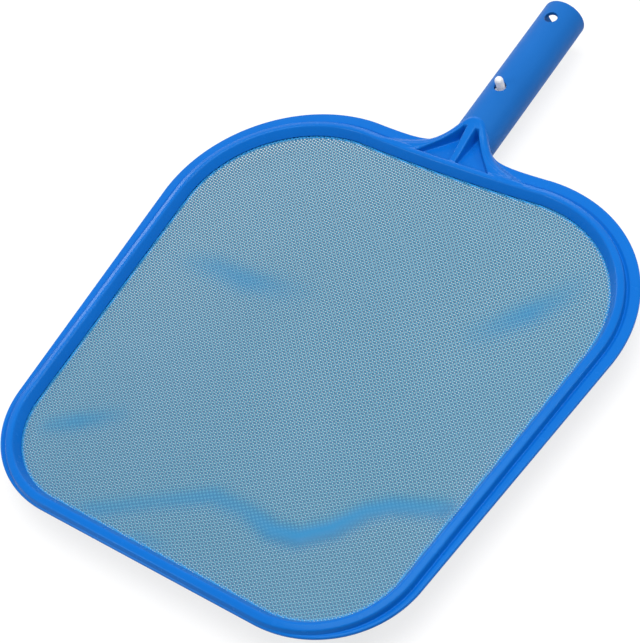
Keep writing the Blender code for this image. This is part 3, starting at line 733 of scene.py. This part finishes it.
def strip_along(name, line):
    """Carry the strip's section along a (y, z) line: across is X, through is square to the line."""
    section = strip_section()
    tangent = np.gradient(line, axis=0)
    tangent /= np.linalg.norm(tangent, axis=1, keepdims=True)
    normal = np.stack([-tangent[:, 1], tangent[:, 0]], 1)
    x = np.broadcast_to(section[None, :, 0], (len(line), len(section)))
    y = line[:, None, 0] + normal[:, None, 0] * section[None, :, 1]
    z = line[:, None, 1] + normal[:, None, 1] * section[None, :, 1]
    run = np.stack([x, y, z], -1)
    ends = run[[0, -1]].mean(axis=1, keepdims=True).repeat(len(section), axis=1)
    return skin_piece(name, np.concatenate([ends[:1], run, ends[1:]]))


def make_arm(name, side):
    """One arm of the clip with its button, which is a turned pin with a round head.

    From the hinge the arm rises evenly to its pad, and the pad lies level out to the tip.
    """
    flat_z = PAD_HEIGHT - CLIP_BOW_RADIUS
    rise = ARM_LENGTH - PAD_LENGTH
    back = np.linspace(0, ARM_LENGTH + TIP_LENGTH, 40)
    z = np.interp(back, [0.0, rise], [0.0, flat_z])
    arm = strip_along(name, np.stack([-back, z * side], 1))
    top = TUBE_RADIUS + BUTTON_PROUD - PAD_HEIGHT
    dome = quarter(14)[::-1]
    head = np.stack([BUTTON_RADIUS * np.cos(dome), top - BUTTON_RADIUS * (1 - np.sin(dome))], 1)
    button = turn_profile("button", np.concatenate([head, BUTTON_FOOT]), sides=48)
    flip = Matrix.Rotation(np.pi, 4, "Y") if side < 0 else Matrix.Identity(4)
    lean_back = Matrix.Rotation(side * BUTTON_LEAN_BACK, 4, "X")
    lean = lean_back @ Matrix.Rotation(-BUTTON_LEAN_ASIDE, 4, "Y")
    button.data.transform(Matrix.Translation((0.0, -ARM_LENGTH, side * flat_z)) @ lean @ flip)
    combine(arm, button, "UNION")
    hinge = Matrix.Translation((0.0, HINGE_S, side * CLIP_BOW_RADIUS))
    arm.data.transform(DATUM @ TUBE_FRAME @ hinge)
    smooth_up_to(arm, degrees=40)
    return arm


def make_bend():
    """The clip's bend: the strip's section carried round a half circle."""
    angle = np.linspace(np.pi / 2, -np.pi / 2, 40)
    centre = np.array([HINGE_S + CLIP_THICKNESS / 2 + CLIP_GAP, 0.0])
    line = centre + CLIP_BOW_RADIUS * np.stack([np.cos(angle), np.sin(angle)], 1)
    bend = strip_along("clip_bend", line)
    bend.data.transform(DATUM @ TUBE_FRAME)
    smooth_up_to(bend, degrees=40)
    return bend


# ---- the netting ----

# Each fold is a line of points in the drawing, as (x, y, strength).
FOLDS = (
    ((-0.0600, -0.1540, 0.10), (-0.0511, -0.1471, 0.35), (-0.0195, -0.1245, 0.30),
     (0.0079, -0.1062, 0.45), (0.0304, -0.1052, 0.40), (0.0507, -0.1092, 0.80),
     (0.0652, -0.1057, 1.00), (0.0786, -0.0933, 1.00), (0.0890, -0.0764, 0.80),
     (0.0991, -0.0678, 0.75), (0.1281, -0.0549, 0.60)),
    ((0.0814, 0.0489, 0.15), (0.0997, 0.0739, 0.60), (0.1097, 0.0912, 0.30),
     (0.1163, 0.1126, 0.05)),
    ((-0.1145, 0.0212, 0.05), (-0.0897, 0.0256, 0.35), (-0.0648, 0.0251, 0.45),
     (-0.0303, 0.0310, 0.10)),
    ((-0.1067, -0.1122, 0.25), (-0.0939, -0.1035, 0.45), (-0.0737, -0.0889, 0.15)),
    ((-0.0144, -0.1478, 0.40), (0.0026, -0.1440, 0.10)),
)
FOLD_WIDTHS = (0.0060, 0.0085, 0.0090, 0.0065, 0.0040)
FOLD_HEIGHT = 0.0026


def fold_at(x, y):
    """Strength of the folds: along each line of points, exp(-(distance / half width)^2)."""
    strength = np.zeros(x.shape)
    for line, width in zip(FOLDS, FOLD_WIDTHS):
        line = np.array(line)
        for first, last in zip(line[:-1], line[1:]):
            side = last - first
            reach_x, reach_y = x - first[0], y - first[1]
            share = (reach_x * side[0] + reach_y * side[1]) / (side[0]**2 + side[1]**2)
            share = np.clip(share, 0.0, 1.0)
            gap = np.hypot(reach_x - share * side[0], reach_y - share * side[1])
            here = (first[2] + share * side[2]) * np.exp(-(gap / width)**2)
            strength = np.maximum(strength, here)
    return strength


def net_sag(x, y):
    """Height of the cloth: broad low swells from summed sines."""
    swell = 0.00090 * np.sin(x * 23.0 + 0.7) * np.sin(y * 19.0 - 0.4)
    swell += 0.00040 * np.sin(x * 41.0 - y * 33.0 + 1.9)
    return swell


def edge_room(x, y):
    """How far a point is inside the net's edge, measured square to the nearest edge sample."""
    points, outwards = net_edge()
    flat = np.stack([np.abs(x).ravel(), y.ravel()], 1).astype(np.float32)
    nearest = nearest_point(flat, points)
    return -((flat - points[nearest]) * outwards[nearest]).sum(1).reshape(x.shape)


def thread_crossings():
    """Where warp i crosses weft j: x and y of every crossing, and i + j.

    The count of warps up to x is WARPS x + CROWDING x^2, and of wefts up to y it is
    WEFTS y - CROWDING y^2 + SLANT x, so both are solved as quadratics.  Then the threads wander:
    a slow drift and a quicker ripple, both sines of the place.
    """
    steps = np.arange(-THREADS_EACH_WAY, THREADS_EACH_WAY + 1)
    i, j = np.meshgrid(steps, steps, indexing="ij")
    root = np.sqrt(WARPS_PER_METRE**2 + 4 * WARP_CROWDING * i)
    x = (root - WARPS_PER_METRE) / (2 * WARP_CROWDING)
    root = np.sqrt(WEFTS_PER_METRE**2 - 4 * WEFT_CROWDING * (j - WEFT_SLANT * x))
    y = (WEFTS_PER_METRE - root) / (2 * WEFT_CROWDING)
    x = (x + THREAD_DRIFT * np.sin(y * 31.0 + x * 9.0 + 0.5)
         + THREAD_RIPPLE * np.sin(y * 83.0 - x * 21.0))
    y = (y + THREAD_DRIFT * np.sin(x * 27.0 - y * 11.0 + 1.1)
         + THREAD_RIPPLE * np.sin(x * 71.0 + y * 25.0))
    return x, y, i + j


def strip_points(x, y, z, aside_x, aside_y):
    """The two edge points of a thread at each crossing: one aside either way."""
    low = np.stack([x - aside_x, y - aside_y, z], -1)
    high = np.stack([x + aside_x, y + aside_y, z], -1)
    return np.stack([low, high], 2).reshape(-1, 3)


def make_netting():
    """A plain weave of flat threads: warp i goes over weft j where i + j is even.

    Each thread is a strip with two points at every crossing, above or below the other's by its
    lift, and it runs on until it is inside the rim's slot.
    """
    x, y, parity = thread_crossings()
    room = edge_room(x, y)
    keep = room > -NET_TUCK
    fold = fold_at(x, y) * smooth_step((room + 0.002) / 0.008)
    height = net_sag(x, y) * smooth_step(room / SAG_RUN_IN)
    height += FOLD_HEIGHT * fold * smooth_step(room / FOLD_RUN_IN)
    over = np.where(parity % 2 == 0, 1.0, -1.0)
    lift = over * THREAD_WEAVE
    half = THREAD_WIDTH / 2 * (1 + FOLD_WIDENING * fold)
    warp = strip_points(x, y, height + lift, half, 0.0)
    weft = strip_points(x, y, height - lift, 0.0, half)
    points = np.concatenate([warp, weft])
    # share of painted highlight: 1 on a warp's crest, 0.2 on a weft's crest, 0 where a thread dips
    # under the other
    warp_painted_highlight = np.repeat(0.5 + 0.5 * over, 2)
    weft_painted_highlight = np.repeat(0.10 - 0.10 * over, 2)
    painted_crest_highlight = np.concatenate([warp_painted_highlight, weft_painted_highlight])
    edge = 1 - smooth_step(room / NET_BORDER)
    number = np.arange(x.size).reshape(x.shape)
    ahead = keep[:, :-1] & keep[:, 1:]
    a, b = number[:, :-1][ahead] * 2, number[:, 1:][ahead] * 2
    warp_faces = np.stack([a, a + 1, b + 1, b], 1)
    aside = keep[:-1] & keep[1:]
    a, b = number[:-1][aside] * 2, number[1:][aside] * 2
    weft_faces = len(warp) + np.stack([a + 1, a, b, b + 1], 1)
    used, faces = np.unique(np.concatenate([warp_faces, weft_faces]), return_inverse=True)
    netting = make_piece("netting", drawing_to_row(points[used]), faces.reshape(-1, 4))
    # the crest share of painted highlight, for the thread's material
    paint(netting, "painted_crest_highlight", painted_crest_highlight[used])
    paint(netting, "fold", np.tile(np.repeat(fold, 2), 2)[used])
    paint(netting, "edge", np.tile(np.repeat(edge, 2), 2)[used])
    netting.data.shade_smooth()
    return netting


def paint(piece, name, values):
    """Keep one number a point on the mesh, for its material."""
    layer = piece.data.attributes.new(name, "FLOAT", "POINT")
    layer.data.foreach_set("value", np.ascontiguousarray(values, np.float32))


# ---- materials ----

def new_material(name, colour, roughness):
    """A material with its node tree and its Principled shader."""
    material = bpy.data.materials.new(name)
    material.use_nodes = True
    shader = material.node_tree.nodes["Principled BSDF"]
    shader.inputs["Base Color"].default_value = (*colour, 1.0)
    shader.inputs["Roughness"].default_value = roughness
    return material, material.node_tree, shader


def noise_share(tree, scale, detail):
    """Noise on the object's own coordinates, as a number around one half."""
    where = tree.nodes.new("ShaderNodeTexCoord")
    noise = tree.nodes.new("ShaderNodeTexNoise")
    noise.inputs["Scale"].default_value = scale
    noise.inputs["Detail"].default_value = detail
    tree.links.new(where.outputs["Object"], noise.inputs["Vector"])
    return noise.outputs["Fac"]


def ramp(tree, source, first, last, start=0.0, end=1.0):
    """A number that runs from first to last while the source runs from start to end."""
    node = tree.nodes.new("ShaderNodeMapRange")
    node.inputs["From Min"].default_value = start
    node.inputs["From Max"].default_value = end
    node.inputs["To Min"].default_value = first
    node.inputs["To Max"].default_value = last
    tree.links.new(source, node.inputs["Value"])
    return node.outputs["Result"]


def cloudy_gloss(tree, shader, scale, detail, low, high):
    """Roughness that drifts between two values in faint clouds."""
    rough = ramp(tree, noise_share(tree, scale, detail), low, high, start=0.3, end=0.7)
    tree.links.new(rough, shader.inputs["Roughness"])


def blend_colours(tree, share, first, last):
    """Mix two colours by share: each is a node's output or a plain colour."""
    node = tree.nodes.new("ShaderNodeMix")
    node.data_type = "RGBA"
    tree.links.new(share, node.inputs["Factor"])
    for socket, colour in (("A", first), ("B", last)):
        if isinstance(colour, tuple):
            node.inputs[socket].default_value = (*colour, 1.0)
        else:
            tree.links.new(colour, node.inputs[socket])
    return node.outputs["Result"]


def add_bump(tree, shader, source, height):
    """A relief of this height, in metres, on the shader's normal."""
    bump = tree.nodes.new("ShaderNodeBump")
    bump.inputs["Strength"].default_value = 1.0
    bump.inputs["Distance"].default_value = height
    tree.links.new(source, bump.inputs["Height"])
    tree.links.new(bump.outputs["Normal"], shader.inputs["Normal"])


def read_paint(tree, name):
    """The number that paint() kept on the mesh under this name."""
    node = tree.nodes.new("ShaderNodeAttribute")
    node.attribute_type = "GEOMETRY"
    node.attribute_name = name
    return node.outputs["Fac"]


def blue_plastic(name, dark, light, roughness_low, roughness_high, grain):
    """Injection-moulded plastic: slow colour drift, faint cloudy gloss and a fine moulded grain."""
    material, tree, shader = new_material(name, light, roughness_low)
    shader.inputs["Specular IOR Level"].default_value = 0.15
    shader.inputs["Specular Tint"].default_value = (0.50, 0.95, 1.0, 1.0)
    drift = noise_share(tree, scale=22.0, detail=3.0)
    colour = blend_colours(tree, drift, dark, light)
    tree.links.new(colour, shader.inputs["Base Color"])
    cloudy_gloss(tree, shader, scale=160.0, detail=4.0, low=roughness_low, high=roughness_high)
    add_bump(tree, shader, noise_share(tree, scale=1600.0, detail=2.0), grain)
    return material


def net_plastic():
    """Blue monofilament: a painted highlight where a warp is on top, painted shade where a thread
    dips, deep blue on folds and at the rim.
    """
    material, tree, shader = new_material("net_thread", (0.03, 0.24, 0.42), 0.40)
    shader.inputs["Specular IOR Level"].default_value = 0.25
    slow = noise_share(tree, scale=14.0, detail=2.0)
    # deep is the threads' colour with painted shade, pale the same with a painted highlight on the
    # crests
    deep = blend_colours(tree, slow, (0.038, 0.126, 0.232), (0.044, 0.140, 0.255))
    pale = blend_colours(tree, slow, (0.112, 0.346, 0.476), (0.138, 0.378, 0.515))
    weave_with_painted_highlight = blend_colours(tree, read_paint(tree, "painted_crest_highlight"), deep, pale)
    folded = blend_colours(tree, read_paint(tree, "fold"), weave_with_painted_highlight, (0.024, 0.215, 0.450))
    ended = blend_colours(tree, read_paint(tree, "edge"), folded, (0.020, 0.300, 0.700))
    tree.links.new(ended, shader.inputs["Base Color"])
    return material


def white_plastic():
    """Plain white moulding with a faint cloudy gloss and a fine grain."""
    material, tree, shader = new_material("white_clip", (0.86, 0.86, 0.88), 0.32)
    cloudy_gloss(tree, shader, scale=300.0, detail=3.0, low=0.28, high=0.42)
    add_bump(tree, shader, noise_share(tree, scale=2200.0, detail=2.0), height=0.000012)
    return material


def dress(piece, material):
    """Give the piece this one material."""
    piece.data.materials.clear()
    piece.data.materials.append(material)


# ---- the object ----

gloss_blue = blue_plastic(
    "blue_rim", dark=(0.0022, 0.130, 0.53), light=(0.0038, 0.156, 0.60),
    roughness_low=0.20, roughness_high=0.29, grain=0.000004)
satin_blue = blue_plastic(
    "blue_tube", dark=(0.0080, 0.120, 0.44), light=(0.0110, 0.142, 0.50),
    roughness_low=0.42, roughness_high=0.52, grain=0.000018)
thread = net_plastic()
white = white_plastic()

rim = make_rim()
neck = make_neck()
tube = make_tube()
netting = make_netting()
upper_arm = make_arm("upper_arm_and_button", 1)
lower_arm = make_arm("lower_arm_and_button", -1)
bend = make_bend()

for piece, material, body, slot, node in (
        (rim, gloss_blue, "head", "blue_moulding", "skimmer_frame"),
        (neck, gloss_blue, "head", "blue_moulding", None),
        (tube, satin_blue, "head", "blue_moulding", None),
        (netting, thread, "head", "netting", "net"),
        (upper_arm, white, "upper_arm", "white_moulding", "clip_arm_upper"),
        (lower_arm, white, "lower_arm", "white_moulding", "clip_arm_lower"),
        (bend, white, "head", "white_moulding", "clip_bow")):
    dress(piece, material)
    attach(piece, body)
    if node:
        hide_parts(node)

# the right half of the net's edge
edge_points, _ = net_edge()

# ---- floor and light ----

FLOOR_GAP = 0.0003
FLOOR_SIZE = 6.0
FLOOR_GLOW = 0.75
FLOOR_WHITE = 0.93
FLOOR_BOUNCE = 0.60
AMBIENT = 0.27
WHITE = (1.0, 1.0, 1.0, 1.0)


def seen_directly(tree):
    """1 for rays from the camera, from a mirror or through glass, and 0 for light on a surface."""
    path = tree.nodes.new("ShaderNodeLightPath")
    seen = path.outputs["Is Camera Ray"]
    for kind in ("Is Glossy Ray", "Is Transmission Ray"):
        either = tree.nodes.new("ShaderNodeMath")
        either.operation = "MAXIMUM"
        tree.links.new(seen, either.inputs[0])
        tree.links.new(path.outputs[kind], either.inputs[1])
        seen = either.outputs["Value"]
    return seen


def link_seen(tree, unseen_value, seen_value, socket):
    """Give the socket one value for rays that see the surface, and another for its light."""
    tree.links.new(ramp(tree, seen_directly(tree), unseen_value, seen_value), socket)


def make_world():
    """A white backdrop that lights the object much less than it shows."""
    world = bpy.data.worlds.new("studio")
    bpy.context.scene.world = world
    world.use_nodes = True
    background = world.node_tree.nodes["Background"]
    background.inputs["Color"].default_value = WHITE
    link_seen(world.node_tree, AMBIENT, 1.0, background.inputs["Strength"])


def make_floor():
    """A pale floor: part of its white is a glow for seeing rays, and the rest takes shadow."""
    place = (0.0, -0.14, cad_box[0][2] - FLOOR_GAP)
    bpy.ops.mesh.primitive_plane_add(size=FLOOR_SIZE, location=place)
    floor = bpy.context.active_object
    floor.name = "floor"
    tone = (FLOOR_WHITE, FLOOR_WHITE, FLOOR_WHITE)
    material, tree, shader = new_material("pale_floor", tone, 0.6)
    shader.inputs["Emission Color"].default_value = WHITE
    link_seen(tree, 0.0, FLOOR_GLOW, shader.inputs["Emission Strength"])
    lit_white = FLOOR_WHITE * (1 - FLOOR_GLOW)
    link_seen(tree, FLOOR_BOUNCE, lit_white, shader.inputs["Base Color"])
    dress(floor, material)
    return floor


def add_lamp(name, place, size, power):
    """A round area lamp that faces the middle of the object."""
    lamp = bpy.data.lights.new(name, "AREA")
    lamp.shape = "DISK"
    lamp.size = size
    lamp.energy = power
    holder = bpy.data.objects.new(name, lamp)
    bpy.context.scene.collection.objects.link(holder)
    holder.location = place
    aim = Vector((0.0, -0.15, 0.0)) - Vector(place)
    holder.rotation_euler = aim.to_track_quat("-Z", "Y").to_euler()


make_world()
floor = make_floor()
add_lamp("key", (0.10, -0.12, 1.35), size=1.20, power=15.5)
add_lamp("right", (0.83, 0.32, 0.90), size=0.28, power=3.0)
add_lamp("left", (-1.13, 0.22, 0.42), size=0.40, power=1.9)
add_lamp("back", (-0.49, 1.08, 0.40), size=0.60, power=1.7)
add_lamp("front", (-0.60, -0.95, 0.80), size=0.28, power=3.2)

# ---- the camera ----

# It was fitted to the photograph: its place and turn in the drawing's frame, its focal length and
# its optical centre in pixels.  The turn is an axis times an angle, from the drawing to a camera
# that looks along +Z with Y down.
CAMERA_PLACE = (0.44683, -0.38391, 0.71089)
CAMERA_TURN = (2.41714665, 0.65640698, -0.50610759)
FOCAL_PIXELS = 1625.76
CENTRE_PIXELS = (319.18, 323.576)
PICTURE_SIZE = (640, 643)
SENSOR = 36.0


def make_camera():
    """The photograph's camera.  Blender's looks along -Z with Y up, so two axes change sign."""
    lens = bpy.data.cameras.new("photo_camera")
    longer = max(PICTURE_SIZE)
    lens.sensor_fit = "AUTO"
    lens.sensor_width = SENSOR
    lens.lens = FOCAL_PIXELS / longer * SENSOR
    lens.shift_x = (PICTURE_SIZE[0] / 2 - CENTRE_PIXELS[0]) / longer
    lens.shift_y = (CENTRE_PIXELS[1] - PICTURE_SIZE[1] / 2) / longer
    lens.clip_start = 0.01
    camera = bpy.data.objects.new("photo_camera", lens)
    bpy.context.scene.collection.objects.link(camera)
    angle = float(np.linalg.norm(CAMERA_TURN))
    to_camera = Matrix.Rotation(angle, 4, Vector(np.array(CAMERA_TURN) / angle))
    flip = Matrix.Diagonal((1.0, -1.0, -1.0, 1.0))
    camera.matrix_world = DATUM @ Matrix.Translation(CAMERA_PLACE) @ to_camera.transposed() @ flip
    bpy.context.scene.camera = camera


make_camera()
bpy.context.scene.view_settings.view_transform = "Standard"

bpy.context.view_layer.update()
